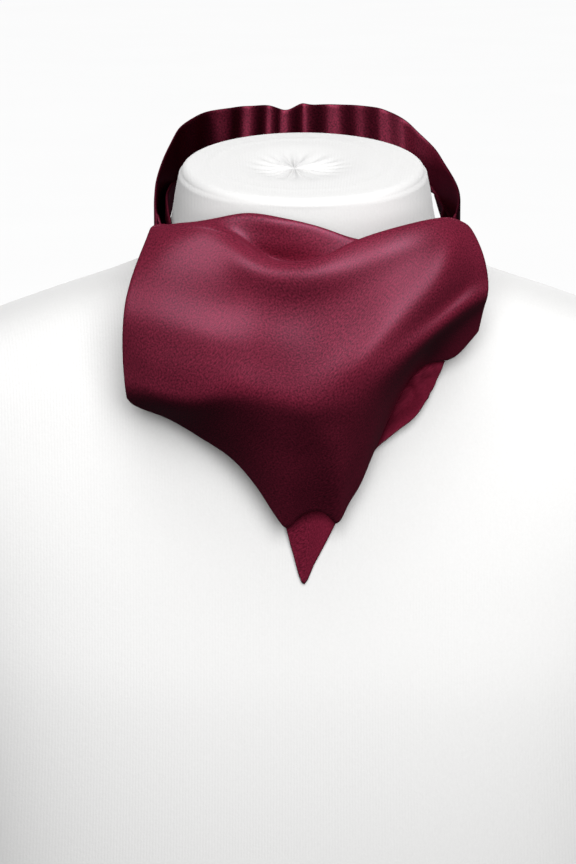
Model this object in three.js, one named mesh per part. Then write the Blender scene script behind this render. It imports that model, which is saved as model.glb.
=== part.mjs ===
// A silk cravat worn round the neck of a limbless display form.
// The neckband is two halves sewn at the centre back. Each half ends in a pleated stem, the left-hand
// stem rises behind the right-hand one and falls over it as the wide top blade, and the right-hand stem
// runs down under it as the under blade. +Z is up and the cravat faces -Y. Lengths are in millimetres.
// Places on the cloth are given as x (across), out (in front of the neck's axis) and drop (below the
// middle of the neck's flat top).
import * as THREE from 'three';

// Driving sizes
const FORM_HEIGHT = 400; // table to the middle of the neck's flat top
const NECK_TILT = THREE.MathUtils.degToRad(11); // the neck's top leans forward
const NECK_ROUNDING = 4; // radius of the rim of the neck's top
const BASE_ROUNDING = 4; // radius of the form's bottom edge
const CLOTH = 1.8; // face, interlining and back of a blade together
const SEAM = 0.3; // gap between two pieces at a seam
const REST_GAP = 0.45; // between the cloth and what it lies on
const FLAP_BULGE = 1.5; // how far the top blade's flap bulges between its belly and its hem
const FLAP_DEPTH = 50; // a shallower flap bulges less
const FALL_WIDENS = 1.25; // how much wider the under blade is just below its top
const TURN_RISE = 0.78; // how far a turned band's inner layer climbs, as a share of the band's height
const TURN_LEAN = 0.08; // how far that layer leans in at its top, as a share of the slot
const BAND_END = 6.9; // where the band is sewn to its stem, as a place in the tables of the bands
const SEAM_SHARE = 0.019; // how far each of the two stays off that place

// Grid sizes
const FORM_SIDES = 44;
const FORM_DROPS = [340, 285, 240, 205, 175, 152, 134, 120, 109, 100, 92, 85, 79, 73, 67.5, 62, 57, 52.5,
  48.5, 45, 42, 39, 35, 30, 24, 17, 10];
const BASE_TURNS = [0, 0.5, 1];
const RIM_TURNS = [0, 0.35, 0.7, 1];
const BLADE_COLUMNS = 38;
const BLADE_STEPS = [3, 4, 3, 3, 6, 5, 4, 4]; // between one line across the blade and the next
const FOLDED_FROM = 4; // the line across the top blade from which its soft folds begin
const FOLDED_AFTER = 3; // rows over which they reach their height
const UNDER_COLUMNS = 26;
const UNDER_STEPS = [5, 5, 9];
const BAND_STEPS = 26;
const STEM_STEPS = 14;
const LAYER_STEPS = { outer: 5, inner: 4 }; // down a turned band's outer layer and up its inner one
const LEAN_DEPTH = 40; // depth over which the lean of the neck's top dies away
const SHOULDER_TOP = 20;
const SHOULDER_FOOT = 150;
const HALVINGS = 30;
const BESIDE = 0.02; // distance in stations over which the band's direction is taken

const COLOURS = {
  silk: { color: 0x6d1a30, roughness: 0.36, metalness: 0 },
  jersey: { color: 0xe9e7e4, roughness: 0.9, metalness: 0 },
};

// A short table: the column names in one string, then a row for each section or station.
function table(names, rows) {
  const keys = names.split(' ');
  return rows.map((row) => Object.fromEntries(keys.map((key, i) => [key, row[i]])));
}

// Rings of the display form, by how far they lie below the neck's top
const FORM_RINGS = table('drop half front back square', [
  [0, 57.5, 56, 56, 2],
  [12, 60, 55.5, 58, 2],
  [25, 62.2, 54, 61, 2],
  [35, 65.2, 53, 65.5, 2],
  [42, 71.5, 52.5, 70, 2],
  [50, 90, 52.5, 76, 2],
  [60, 120, 53.5, 82, 2.1],
  [72, 153, 56, 88, 2.2],
  [86, 184, 59.5, 95, 2.3],
  [102, 205, 64.5, 101, 2.4],
  [122, 214, 70.5, 107, 2.5],
  [150, 213, 79, 112.5, 2.6],
  [190, 203, 90, 115.5, 2.6],
  [240, 192, 100, 113.5, 2.6],
  [310, 181, 103, 104, 2.6],
  [400, 172, 98, 98, 2.6],
]);

// The neckband's outer face from the centre back to the side of the neck and on, as a stem, round the
// front. turned is the share of the band's lower half that is folded up inside it, and slot the
// distance from the outer layer to the folded one.
const WEARER_RIGHT_BAND = table('at side out drop width turned slot', [
  [0, SEAM / 2, -74, -22, 36, 0, 2],
  [1, 23, -73.5, -21.8, 36, 0, 2],
  [2, 42, -69.5, -20, 35, 0.05, 3],
  [3, 55.6, -61, -16.2, 33, 0.15, 4],
  [4, 63.2, -44.5, -8.4, 30, 0.4, 4.6],
  [5, 68, -21, 1.6, 27, 0.8, 4.8],
  [6, 69.9, 4, 10.9, 24, 1, 4.8],
  [7, 68, 27, 22.5, 22, 1, 6],
  [8, 57, 46.5, 34, 21, 1, 3.2],
  [9, 36, 57.8, 43, 20, 1, 2.3],
  [10, 14, 59.4, 46.5, 20, 1, 2.3],
  [11, -14, 59.4, 47.5, 20, 1, 2.3],
]);
const WEARER_LEFT_BAND = table('at side out drop width turned slot', [
  [0, SEAM / 2, -74, -22, 36, 0, 2],
  [1, 22, -73.5, -22.2, 36, 0, 2],
  [2, 40, -71, -20, 35, 0.05, 3],
  [3, 53.5, -64, -13, 32, 0.15, 3.6],
  [4, 64.8, -48, -2.5, 29, 0.35, 4],
  [5, 71.8, -25, 7.2, 26, 0.6, 4],
  [6, 74.4, -3, 14.5, 24, 0.85, 4.6],
  [7, 71.5, 19, 23, 22, 1, 5.5],
  [8, 63, 42.5, 33, 21, 1, 2.4],
  [9, 44, 61.8, 42, 20, 1, 2.3],
  [10, 16, 69.4, 45, 20, 1, 2.3],
  [11, -14, 69.4, 46, 20, 1, 2.3],
]);

// The narrow upper parts of the blades, which are level and curve back towards their sides
const TOP_ROOT = { width: 58, out: 62.8, curve: 9.6, drop: 64 };
const TOP_THROAT = { width: 60, out: 63.6, curve: 13, drop: 41 };
const UNDER_TOP = { width: 58, out: 71.4, curve: 10, drop: 46 };
const UNDER_FALL = { width: UNDER_TOP.width * FALL_WIDENS, out: 72.2, curve: 20, drop: 60 };

// Lines across the top blade, from its fold at the neck to its hem
const CREST = table('across x out drop', [
  [0, -69.2, 51, 24],
  [0.08, -58.1, 60.5, 22.4],
  [0.2, -40, 67.5, 18.8],
  [0.3, -25, 69.5, 16.2],
  [0.42, -8, 70, 18.5],
  [0.54, 9, 70, 22.7],
  [0.64, 24, 69, 28.3],
  [0.76, 41, 61, 30],
  [0.88, 58.4, 52, 27.1],
  [1, 72.3, 48, 24.8],
]);
const DIP = table('across x out drop', [
  [0, -69.8, 53, 24.4],
  [0.2, -41.5, 71.5, 19.9],
  [0.3, -27.5, 76, 26.5],
  [0.36, -18.9, 78, 34.2],
  [0.42, -10, 79, 39.5],
  [0.54, 8, 79, 41.5],
  [0.66, 25, 76, 39],
  [0.76, 41.5, 70, 34.7],
  [0.88, 59.3, 61, 28.1],
  [1, 73.2, 53, 23.5],
]);
const RIDGE = table('across x out drop', [
  [0, -70.6, 56, 26.5],
  [0.08, -60.1, 66.5, 24.3],
  [0.2, -43, 75.5, 22.2],
  [0.3, -30, 82, 27.2],
  [0.36, -21.7, 87.5, 31.6],
  [0.42, -12, 91, 35.1],
  [0.5, 0, 92, 34.8],
  [0.57, 10, 90, 32.6],
  [0.66, 24, 84, 26.7],
  [0.76, 43.1, 79, 21.3],
  [0.88, 59.7, 70, 18.4],
  [0.94, 67.3, 63, 18.7],
  [1, 74.2, 56, 23],
]);
const BEND = table('across x out drop', [
  [0, -80.5, 77, 55.8],
  [0.1, -66.7, 85, 56.7],
  [0.2, -53.9, 91, 58.3],
  [0.32, -37, 97, 59.8],
  [0.45, -18, 103, 61],
  [0.58, 2, 105, 61],
  [0.7, 22, 104, 57],
  [0.8, 41.9, 98.5, 47.4],
  [0.9, 62.7, 86.5, 37.7],
  [1, 81.3, 67, 34.7],
]);
const BELLY = table('across x out drop', [
  [0, -81, 81, 86.5],
  [0.1, -68.8, 91, 91.3],
  [0.22, -47.9, 103, 91.7],
  [0.35, -26.9, 112.5, 92],
  [0.48, -5, 116, 93.3],
  [0.6, 12, 116, 93.3],
  [0.7, 25.9, 112.5, 88.7],
  [0.8, 42.3, 103, 76.5],
  [0.9, 62.8, 88, 61.4],
  [1, 83.5, 70, 48.4],
]);
const HEM = table('across x out drop', [
  [0, -79.8, 77, 98.2],
  [0.04, -75.8, 77.5, 101.9],
  [0.12, -61.9, 79, 107.2],
  [0.22, -46.8, 82, 115.7],
  [0.32, -32, 87, 125],
  [0.4, -21.2, 90, 137],
  [0.46, -12, 92, 151],
  [0.485, -8, 92.5, 155.6],
  [0.51, -4.2, 93.5, 152.2],
  [0.54, -0.4, 94.5, 149],
  [0.565, 4, 95, 147.5],
  [0.59, 7.6, 95, 147.4],
  [0.61, 10.6, 94, 149.4],
  [0.635, 15, 92, 153.6],
  [0.68, 20, 90, 145],
  [0.73, 25.5, 88, 136],
  [0.79, 32, 84.5, 120.5],
  [0.87, 45, 76.5, 93.5],
  [0.92, 54.9, 73, 84.1],
  [0.97, 68.8, 68, 81.2],
  [1, 79.7, 66, 69.4],
]);
// Lines across the under blade; how far out it lies comes from the form beneath it
const UNDER_SIDE = table('across x drop lift', [
  [0, -60, 78, 3],
  [0.25, -32, 78, 5],
  [0.5, 2, 80, 7],
  [0.75, 36, 80, 6],
  [1, 65, 80, 3.5],
]);
const UNDER_HEM = table('across x drop lift', [
  [0, -57, 89, 2.5],
  [0.12, -46, 103, 2.5],
  [0.24, -32, 114, 2.5],
  [0.34, -19, 131, 2],
  [0.43, -8.8, 155, 1],
  [0.47, -4.9, 168.5, 0.5],
  [0.5, -0.2, 182.3, 0],
  [0.53, 4.9, 173.5, 0],
  [0.58, 12, 160.5, 0.5],
  [0.63, 17.4, 150, 1],
  [0.72, 26, 134, 1.5],
  [0.79, 32.6, 123, 2],
  [0.87, 42.4, 114.5, 2.5],
  [0.94, 51.8, 107, 3],
  [1, 60, 94.5, 3],
]);

// Soft folds: raised (or sunk, where the height is below zero) along a line between two places
const TOP_FOLDS = table('x1 drop1 x2 drop2 height width', [
  [63, 38, 10, 85, 3, 7.5],
  [73, 47, 54, 63, -1.4, 5],
  [86, 51, 40, 79, 4, 6],
  [-18, 36, 24, 33, 3, 7],
]);
const UNDER_FOLDS = table('x1 drop1 x2 drop2 height width', [
  [36, 105, 50, 101, -5, 5],
  [46, 91, 62, 89, 3, 5],
  [35, 115, 52, 107, 1.6, 4],
]);

// A smooth curve through one column of a table, at a place given in the table's first column.
function along(rows, column, at) {
  const key = Object.keys(rows[0])[0];
  const last = rows.length - 1;
  let i = 0;
  while (i < last - 1 && rows[i + 1][key] < at) i += 1;
  const slope = (n) => {
    const a = rows[Math.max(n - 1, 0)];
    const b = rows[Math.min(n + 1, last)];
    return (b[column] - a[column]) / (b[key] - a[key]);
  };
  const span = rows[i + 1][key] - rows[i][key];
  const t = THREE.MathUtils.clamp((at - rows[i][key]) / span, 0, 1);
  return hermite(rows[i][column], rows[i + 1][column], slope(i) * span, slope(i + 1) * span, t);
}

// The cubic that leaves a at slope ma and reaches b at slope mb.
function hermite(a, b, ma, mb, t) {
  const s = 1 - t;
  return a * (1 + 2 * t) * s * s + ma * t * s * s + b * t * t * (3 - 2 * t) - mb * t * t * s;
}

function mix(a, b, share) {
  return a + (b - a) * share;
}

// A place on the cloth in the part's own frame.
function place(x, out, drop) {
  return new THREE.Vector3(x, -out, FORM_HEIGHT - drop);
}

// How far down the form a level surface lies at this depth, because the neck's top leans forward.
function leanDrop(y, drop) {
  const share = THREE.MathUtils.clamp(1 - drop / LEAN_DEPTH, 0, 1);
  return -Math.tan(NECK_TILT) * y * share * share * (3 - 2 * share);
}

// How many times the form's own ring a point's distance from the axis is.
function ringShare(x, y, drop) {
  const at = THREE.MathUtils.clamp(drop, 0, FORM_HEIGHT);
  const depth = along(FORM_RINGS, y < 0 ? 'front' : 'back', at);
  const power = along(FORM_RINGS, 'square', at);
  const across = Math.abs(x / along(FORM_RINGS, 'half', at)) ** power;
  return (across + Math.abs(y / depth) ** power) ** (1 / power);
}

// How far out the form's front lies at this place.
function formOut(x, drop) {
  const power = along(FORM_RINGS, 'square', drop);
  const across = Math.min(1, Math.abs(x / along(FORM_RINGS, 'half', drop))) ** power;
  return along(FORM_RINGS, 'front', drop) * (1 - across) ** (1 / power);
}

// How far below the neck's top the form's shoulder lies under this place, by halving.
function shoulderDrop(x, y) {
  let low = SHOULDER_TOP;
  let high = SHOULDER_FOOT;
  for (let n = 0; n < HALVINGS; n += 1) {
    const middle = (low + high) / 2;
    if (ringShare(x, y, middle) > 1) low = middle;
    else high = middle;
  }
  return high;
}

// The form: flat base, torso, shoulders and neck, as rings between two flat ends.
function formGeometry() {
  const rings = [];
  const ring = (half, front, back, square, heightAt) => {
    const points = [];
    for (let k = 0; k < FORM_SIDES; k += 1) {
      const angle = (k / FORM_SIDES) * Math.PI * 2;
      const c = Math.cos(angle);
      const s = Math.sin(angle);
      const x = half * Math.sign(c) * Math.abs(c) ** (2 / square);
      const y = (s < 0 ? front : back) * Math.sign(s) * Math.abs(s) ** (2 / square);
      points.push(new THREE.Vector3(x, y, heightAt(y)));
    }
    rings.push(points);
  };
  const inset = (row, by, heightAt) => {
    ring(row.half - by, row.front - by, row.back - by, row.square, heightAt);
  };
  const at = (drop) => {
    const row = { drop };
    for (const name of ['half', 'front', 'back', 'square']) row[name] = along(FORM_RINGS, name, drop);
    return row;
  };
  const bottom = at(FORM_HEIGHT);
  for (const turn of BASE_TURNS) {
    const angle = (turn * Math.PI) / 2;
    inset(bottom, BASE_ROUNDING * (1 - Math.sin(angle)), () => BASE_ROUNDING * (1 - Math.cos(angle)));
  }
  for (const drop of FORM_DROPS) {
    inset(at(drop), 0, (y) => FORM_HEIGHT - drop - leanDrop(y, drop));
  }
  const top = at(0);
  for (const turn of RIM_TURNS) {
    const angle = (turn * Math.PI) / 2;
    const down = NECK_ROUNDING * (1 - Math.sin(angle));
    inset(top, NECK_ROUNDING * (1 - Math.cos(angle)), (y) => FORM_HEIGHT - down - leanDrop(y, 0));
  }
  return lathe(rings);
}

// A closed solid from rings of equal length, with a fan over each end.
function lathe(rings) {
  const sides = rings[0].length;
  const points = rings.flat();
  const middle = (ring) => ring.reduce((sum, p) => sum.add(p), new THREE.Vector3()).divideScalar(sides);
  const bottom = points.push(middle(rings[0])) - 1;
  const top = points.push(middle(rings[rings.length - 1])) - 1;
  const faces = [];
  for (let k = 0; k < sides; k += 1) {
    const next = (k + 1) % sides;
    for (let r = 0; r < rings.length - 1; r += 1) {
      const a = r * sides + k;
      const b = r * sides + next;
      faces.push(a, b, b + sides, a, b + sides, a + sides);
    }
    faces.push(bottom, next, k);
    const last = (rings.length - 1) * sides;
    faces.push(top, last + k, last + next);
  }
  return solid(points, faces);
}

function solid(points, faces) {
  const geometry = new THREE.BufferGeometry();
  geometry.setAttribute('position', new THREE.Float32BufferAttribute(points.flatMap((p) => p.toArray()), 3));
  geometry.setIndex(faces);
  geometry.computeVertexNormals();
  return geometry;
}

// A cloth wall: the grid's points moved half a thickness to each side, closed by a rim.
function wall(grid, thickness) {
  const rows = grid.length;
  const columns = grid[0].length;
  const normal = (r, c) => {
    const down = grid[Math.min(r + 1, rows - 1)][c].clone().sub(grid[Math.max(r - 1, 0)][c]);
    const across = grid[r][Math.min(c + 1, columns - 1)].clone().sub(grid[r][Math.max(c - 1, 0)]);
    return down.cross(across).normalize();
  };
  const face = [];
  const back = [];
  for (let r = 0; r < rows; r += 1) {
    for (let c = 0; c < columns; c += 1) {
      const n = normal(r, c).multiplyScalar(thickness / 2);
      face.push(grid[r][c].clone().add(n));
      back.push(grid[r][c].clone().sub(n));
    }
  }
  const count = rows * columns;
  const faces = [];
  for (let r = 0; r < rows - 1; r += 1) {
    for (let c = 0; c < columns - 1; c += 1) {
      const a = r * columns + c;
      const b = a + columns;
      faces.push(a, b, b + 1, a, b + 1, a + 1);
      faces.push(count + a, count + b + 1, count + b, count + a, count + a + 1, count + b + 1);
    }
  }
  const rim = (a, b) => faces.push(a, b, count + b, a, count + b, count + a);
  for (let c = 0; c < columns - 1; c += 1) {
    rim(c, c + 1);
    rim((rows - 1) * columns + c + 1, (rows - 1) * columns + c);
  }
  for (let r = 0; r < rows - 1; r += 1) {
    rim((r + 1) * columns, r * columns);
    rim(r * columns + columns - 1, (r + 1) * columns + columns - 1);
  }
  return solid([...face, ...back], faces);
}

// Points down one column of cloth: a smooth curve through its knots, with steps[i] points in span i.
function column(knots, steps) {
  const lengths = knots.slice(1).map((p, i) => p.distanceTo(knots[i]));
  const slope = (n) => {
    if (n === 0) return knots[1].clone().sub(knots[0]).divideScalar(lengths[0]);
    const end = knots.length - 1;
    if (n === end) return knots[end].clone().sub(knots[end - 1]).divideScalar(lengths[end - 1]);
    const before = knots[n].clone().sub(knots[n - 1]).divideScalar(lengths[n - 1]);
    const after = knots[n + 1].clone().sub(knots[n]).divideScalar(lengths[n]);
    return before.lerp(after, lengths[n - 1] / (lengths[n - 1] + lengths[n]));
  };
  const points = [];
  for (let i = 0; i < steps.length; i += 1) {
    const ma = slope(i).multiplyScalar(lengths[i]);
    const mb = slope(i + 1).multiplyScalar(lengths[i]);
    const last = i === steps.length - 1 ? 1 : 0;
    for (let n = 0; n < steps[i] + last; n += 1) {
      const t = n / steps[i];
      points.push(new THREE.Vector3(...['x', 'y', 'z'].map((axis) => (
        hermite(knots[i][axis], knots[i + 1][axis], ma[axis], mb[axis], t)))));
    }
  }
  return points;
}

// How far the soft folds raise the cloth at this place.
function foldHeight(folds, x, drop) {
  let height = 0;
  for (const fold of folds) {
    const dx = fold.x2 - fold.x1;
    const dy = fold.drop2 - fold.drop1;
    const long = Math.hypot(dx, dy);
    const share = ((x - fold.x1) * dx + (drop - fold.drop1) * dy) / (long * long);
    const away = ((x - fold.x1) * dy - (drop - fold.drop1) * dx) / long;
    const past = Math.max(0, -share, share - 1) * long;
    height += fold.height * Math.exp(-((away / fold.width) ** 2) - (past / fold.width) ** 2);
  }
  return height;
}

// A place on one of the blades' level upper lines, at a side from -0.5 to 0.5.
function onLevel(line, side) {
  return place(side * line.width, line.out - line.curve * side * side, line.drop);
}

// The top blade: up behind the stem, over its fold at the neck, out to its belly and in to its hem.
function topBladeGrid() {
  const columns = [];
  for (let c = 0; c <= BLADE_COLUMNS; c += 1) {
    const across = c / BLADE_COLUMNS;
    const on = (line) => place(along(line, 'x', across), along(line, 'out', across), along(line, 'drop', across));
    const side = across - 0.5;
    const root = onLevel(TOP_ROOT, side);
    const throat = onLevel(TOP_THROAT, side);
    const belly = on(BELLY);
    const hem = on(HEM);
    const flap = belly.clone().lerp(hem, 0.5);
    flap.y -= FLAP_BULGE * Math.min(1, belly.distanceTo(hem) / FLAP_DEPTH);
    const knots = [root, throat, on(CREST), on(DIP), on(RIDGE), on(BEND), belly, flap, hem];
    columns.push(column(knots, BLADE_STEPS));
  }
  const rows = columns[0].map((_, r) => columns.map((points) => points[r]));
  const front = BLADE_STEPS.slice(0, FOLDED_FROM).reduce((sum, n) => sum + n, 0);
  rows.forEach((row, r) => {
    if (r < front) return;
    const share = Math.min(1, (r - front) / FOLDED_AFTER);
    for (const p of row) {
      p.y -= share * foldHeight(TOP_FOLDS, p.x, FORM_HEIGHT - p.z);
    }
  });
  return rows;
}

// The under blade: from the stem down over the form's chest to its point.
function underBladeGrid() {
  const columns = [];
  for (let c = 0; c <= UNDER_COLUMNS; c += 1) {
    const across = c / UNDER_COLUMNS;
    const side = across - 0.5;
    const on = (line) => {
      const x = along(line, 'x', across);
      const drop = along(line, 'drop', across);
      return place(x, formOut(x, drop) + CLOTH / 2 + REST_GAP + along(line, 'lift', across), drop);
    };
    const knots = [onLevel(UNDER_TOP, side), onLevel(UNDER_FALL, side), on(UNDER_SIDE), on(UNDER_HEM)];
    columns.push(column(knots, UNDER_STEPS));
  }
  const rows = columns[0].map((_, r) => columns.map((points) => points[r]));
  for (const row of rows) {
    for (const p of row) {
      const drop = FORM_HEIGHT - p.z;
      const out = -p.y + foldHeight(UNDER_FOLDS, p.x, drop);
      p.y = -Math.max(out, formOut(p.x, drop) + CLOTH / 2 + REST_GAP);
    }
  }
  return rows;
}

// A stretch of the neckband: at each station a strip that hangs from the band's top edge and, where the
// band is turned, folds up again inside itself. The mirror is -1 for the half on the wearer's right.
function bandGrid(rows, mirror, from, to, steps) {
  const down = LAYER_STEPS.outer;
  const up = LAYER_STEPS.inner;
  const grid = [];
  for (let n = 0; n <= steps; n += 1) {
    const at = mix(from, to, n / steps);
    const spot = (t) => new THREE.Vector2(along(rows, 'side', t) * mirror, -along(rows, 'out', t));
    const here = spot(at);
    const after = spot(Math.min(at + BESIDE, rows.length - 1));
    const ahead = after.sub(spot(Math.max(at - BESIDE, 0))).normalize();
    const inward = new THREE.Vector2(ahead.y, -ahead.x).multiplyScalar(mirror);
    const drop = along(rows, 'drop', at);
    const turned = along(rows, 'turned', at);
    const slot = along(rows, 'slot', at) * turned;
    const innermost = here.clone().addScaledVector(inward, slot + CLOTH);
    const floor = shoulderDrop(innermost.x, innermost.y) - REST_GAP;
    const reach = Math.min(along(rows, 'width', at), floor - drop);
    const row = [];
    for (let k = 0; k <= down + up; k += 1) {
      const outer = Math.min(k / down, 1);
      const inner = Math.max(0, (k - down) / up);
      const plain = (k / (down + up)) * reach;
      const folded = reach * (outer - TURN_RISE * inner);
      const inset = CLOTH / 2 + slot * (k > down ? 1 + TURN_LEAN * inner : outer ** 4 / 2);
      const spotHere = here.clone().addScaledVector(inward, inset);
      row.push(new THREE.Vector3(spotHere.x, spotHere.y, FORM_HEIGHT - drop - mix(plain, folded, turned)));
    }
    grid.push(row);
  }
  return grid;
}

function piece(name, geometry, finish) {
  const mesh = new THREE.Mesh(geometry, new THREE.MeshStandardMaterial(COLOURS[finish]));
  mesh.name = name;
  return mesh;
}

const cravat = new THREE.Group();
cravat.add(piece('display_form', formGeometry(), 'jersey'));
for (const [side, rows, mirror] of [['right', WEARER_RIGHT_BAND, -1], ['left', WEARER_LEFT_BAND, 1]]) {
  const band = bandGrid(rows, mirror, 0, BAND_END - SEAM_SHARE, BAND_STEPS);
  const stem = bandGrid(rows, mirror, BAND_END + SEAM_SHARE, rows.length - 1, STEM_STEPS);
  cravat.add(piece(`neckband_${side}`, wall(band, CLOTH), 'silk'));
  cravat.add(piece(`pleated_stem_${side}`, wall(stem, CLOTH), 'silk'));
}
cravat.add(piece('top_blade', wall(topBladeGrid(), CLOTH), 'silk'));
cravat.add(piece('under_blade', wall(underBladeGrid(), CLOTH), 'silk'));

export default cravat;
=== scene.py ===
"""A burgundy silk cravat on a limbless display form, dressed over its solids.

Each piece of cloth is a smooth sheet worked out over two parameters, along and across the cloth, and
closed as a thin shell with soft folded edges. Places are in millimetres and are given as in the part's
source: x across, out in front of the neck's axis, drop below the middle of the neck's flat top.
"""
import math

import bpy
import numpy as np
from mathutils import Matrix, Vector


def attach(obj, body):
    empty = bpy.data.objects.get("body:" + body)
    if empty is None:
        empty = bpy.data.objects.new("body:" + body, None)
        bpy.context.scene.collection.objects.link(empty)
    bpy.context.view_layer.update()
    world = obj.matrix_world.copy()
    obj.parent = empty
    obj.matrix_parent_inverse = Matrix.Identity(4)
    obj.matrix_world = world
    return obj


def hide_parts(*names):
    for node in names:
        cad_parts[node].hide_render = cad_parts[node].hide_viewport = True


bl_info = {
    "name": "Silk cravat",
    "version": (1, 0, 0),
    "blender": (4, 5, 0),
    "location": "View3D > Sidebar > Cravat",
    "description": "Builds a silk cravat, the display form that it rests on, and the studio",
    "category": "Add Mesh",
}

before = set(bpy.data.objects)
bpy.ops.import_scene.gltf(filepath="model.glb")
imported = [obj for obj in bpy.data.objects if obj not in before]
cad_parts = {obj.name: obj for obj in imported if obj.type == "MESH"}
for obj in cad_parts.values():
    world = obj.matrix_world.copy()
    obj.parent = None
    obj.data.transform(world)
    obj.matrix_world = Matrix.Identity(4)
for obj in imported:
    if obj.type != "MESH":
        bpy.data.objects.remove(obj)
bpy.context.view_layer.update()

MM = 0.001
FORM_HEIGHT = 400.0
NECK_LEAN = math.radians(11)

# Rings of the display form, by how far they lie below the neck's top
FORM_RINGS = (
    "drop half front back square",
    [
        (0, 57.5, 56, 56, 2),
        (12, 60, 55.5, 58, 2),
        (25, 62.2, 54, 61, 2),
        (35, 65.2, 53, 65.5, 2),
        (42, 71.5, 52.5, 70, 2),
        (50, 90, 52.5, 76, 2),
        (60, 120, 53.5, 82, 2.1),
        (72, 153, 56, 88, 2.2),
        (86, 184, 59.5, 95, 2.3),
        (102, 205, 64.5, 101, 2.4),
        (122, 214, 70.5, 107, 2.5),
        (150, 213, 79, 112.5, 2.6),
        (190, 203, 90, 115.5, 2.6),
        (240, 192, 100, 113.5, 2.6),
        (310, 181, 103, 104, 2.6),
        (400, 172, 98, 98, 2.6),
    ],
)

# The band's outer face from the centre back to the side of the neck and on, as a stem, round the front
RIGHT_BAND = (
    "at side out drop width turned slot",
    [
        (0, 0.15, -74, -22, 36, 0, 2),
        (1, 23, -73.5, -21.8, 36, 0, 2),
        (2, 42, -69.5, -20, 35, 0.05, 3),
        (3, 55.6, -61, -16.2, 33, 0.15, 4),
        (4, 63.2, -44.5, -8.4, 30, 0.4, 4.6),
        (5, 68, -21, 1.6, 27, 0.8, 4.8),
        (6, 69.9, 4, 10.9, 24, 1, 4.8),
        (7, 68, 27, 22.5, 22, 1, 6),
        (8, 57, 46.5, 34, 21, 1, 3.2),
        (9, 36, 57.8, 43, 20, 1, 2.3),
        (10, 14, 59.4, 46.5, 20, 1, 2.3),
        (11, -14, 59.4, 47.5, 20, 1, 2.3),
    ],
)
LEFT_BAND = (
    "at side out drop width turned slot",
    [
        (0, 0.15, -74, -22, 36, 0, 2),
        (1, 22, -73.5, -22.2, 36, 0, 2),
        (2, 40, -71, -20, 35, 0.05, 3),
        (3, 53.5, -64, -13, 32, 0.15, 3.6),
        (4, 64.8, -48, -2.5, 29, 0.35, 4),
        (5, 71.8, -25, 7.2, 26, 0.6, 7),
        (6, 74.4, -3, 14.5, 24, 0.85, 8),
        (7, 71.5, 19, 23, 22, 1, 6.5),
        (8, 63, 42.5, 33, 21, 1, 2.4),
        (9, 44, 61.8, 42, 20, 1, 2.3),
        (10, 16, 69.4, 45, 20, 1, 2.3),
        (11, -14, 69.4, 46, 20, 1, 2.3),
    ],
)

# Stations of the two tables above: where the band is sewn to its stem, and where the stem ends
BAND_END = 6.9
STEM_END = 11
SEAM_SHARE = 0.019  # how far band and stem each stay off that place

TURN_AT = 0.54  # share of a band's rows that go down its outer layer
TURN_RISE = 0.78  # how far a turned band's inner layer climbs, as a share of the band's height
TURN_LEAN = 0.08  # how far that layer leans in at its top, as a share of the slot
LEAST_SLOT = 0.2
STEM_PLEAT = 0.35  # depth of the pleats that run along a stem
PLEAT_HALF_WAVES = 6.3
SEAM_DRAW = 0.4  # how far each half of the band is drawn to the other side at the centre back
SEAM_REACH = 12  # distance over which that dies away

BAND_THICKNESS = 1.5
BLADE_THICKNESS = 1.5
WALL = 1.8  # thickness of the solids' cloth
CLEARANCE = 0.45  # between the solids' cloth and what it lies on

# Grid sizes, and the rough lengths by which the rounded edges are scaled
BAND_ROWS, BAND_STATIONS, STEM_STATIONS = 56, 150, 90
BAND_HEIGHT, BAND_LENGTH, STEM_LENGTH = 40, 150, 100
TOP_GRID, TOP_LENGTH, TOP_ACROSS, TOP_EDGE = (190, 170), 210, 165, 2.2
UNDER_GRID, UNDER_LENGTH, UNDER_ACROSS, UNDER_EDGE = (120, 120), 120, 130, 2
FORM_SIDES = 180
FOLD_PLACES = 60  # places on a fold's curve from which its bells are taken

# Upright puckers of the band: how far the cloth stands in towards the neck, from the centre back on
RIGHT_PUCKERS = (
    "place height",
    [
        (0, -0.5),
        (1.4, -0.9),
        (6.3, 1.3),
        (11.2, -0.8),
        (14.4, 0.5),
        (18.4, -1),
        (24.3, 1.4),
        (30.7, -1),
        (37.5, 1.6),
        (47.4, -1.6),
        (58, 1.4),
        (70, -0.6),
        (84, 0.6),
        (110, 0),
        (200, 0),
    ],
)
LEFT_PUCKERS = (
    "place height",
    [
        (0, -0.5),
        (3.8, 1),
        (11.4, -1.5),
        (19.5, 1.5),
        (25.9, -0.2),
        (31.9, 0.6),
        (38.2, -1),
        (44, 0),
        (52, -1),
        (62, 0.8),
        (76, -0.6),
        (90, 0.6),
        (110, 0),
        (200, 0),
    ],
)

# Lines across the top blade, from its fold at the neck to its hem
CREST = (
    "across x out drop",
    [
        (0, -69.2, 51, 24),
        (0.08, -58.1, 60.5, 22.4),
        (0.2, -40, 67.5, 18.8),
        (0.3, -25, 69.5, 16.2),
        (0.42, -8, 70, 18.5),
        (0.54, 9, 70, 22.7),
        (0.64, 24, 69, 28.3),
        (0.76, 41, 61, 30),
        (0.88, 58.4, 52, 27.1),
        (1, 72.3, 48, 24.8),
    ],
)
DIP = (
    "across x out drop",
    [
        (0, -69.8, 53, 24.4),
        (0.2, -41.5, 71.5, 19.9),
        (0.3, -27.5, 76, 26.5),
        (0.36, -18.9, 78, 34.2),
        (0.42, -10, 79, 39.5),
        (0.54, 8, 79, 41.5),
        (0.66, 25, 76, 39),
        (0.76, 41.5, 70, 34.7),
        (0.88, 59.3, 61, 28.1),
        (1, 73.2, 53, 23.5),
    ],
)
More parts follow.
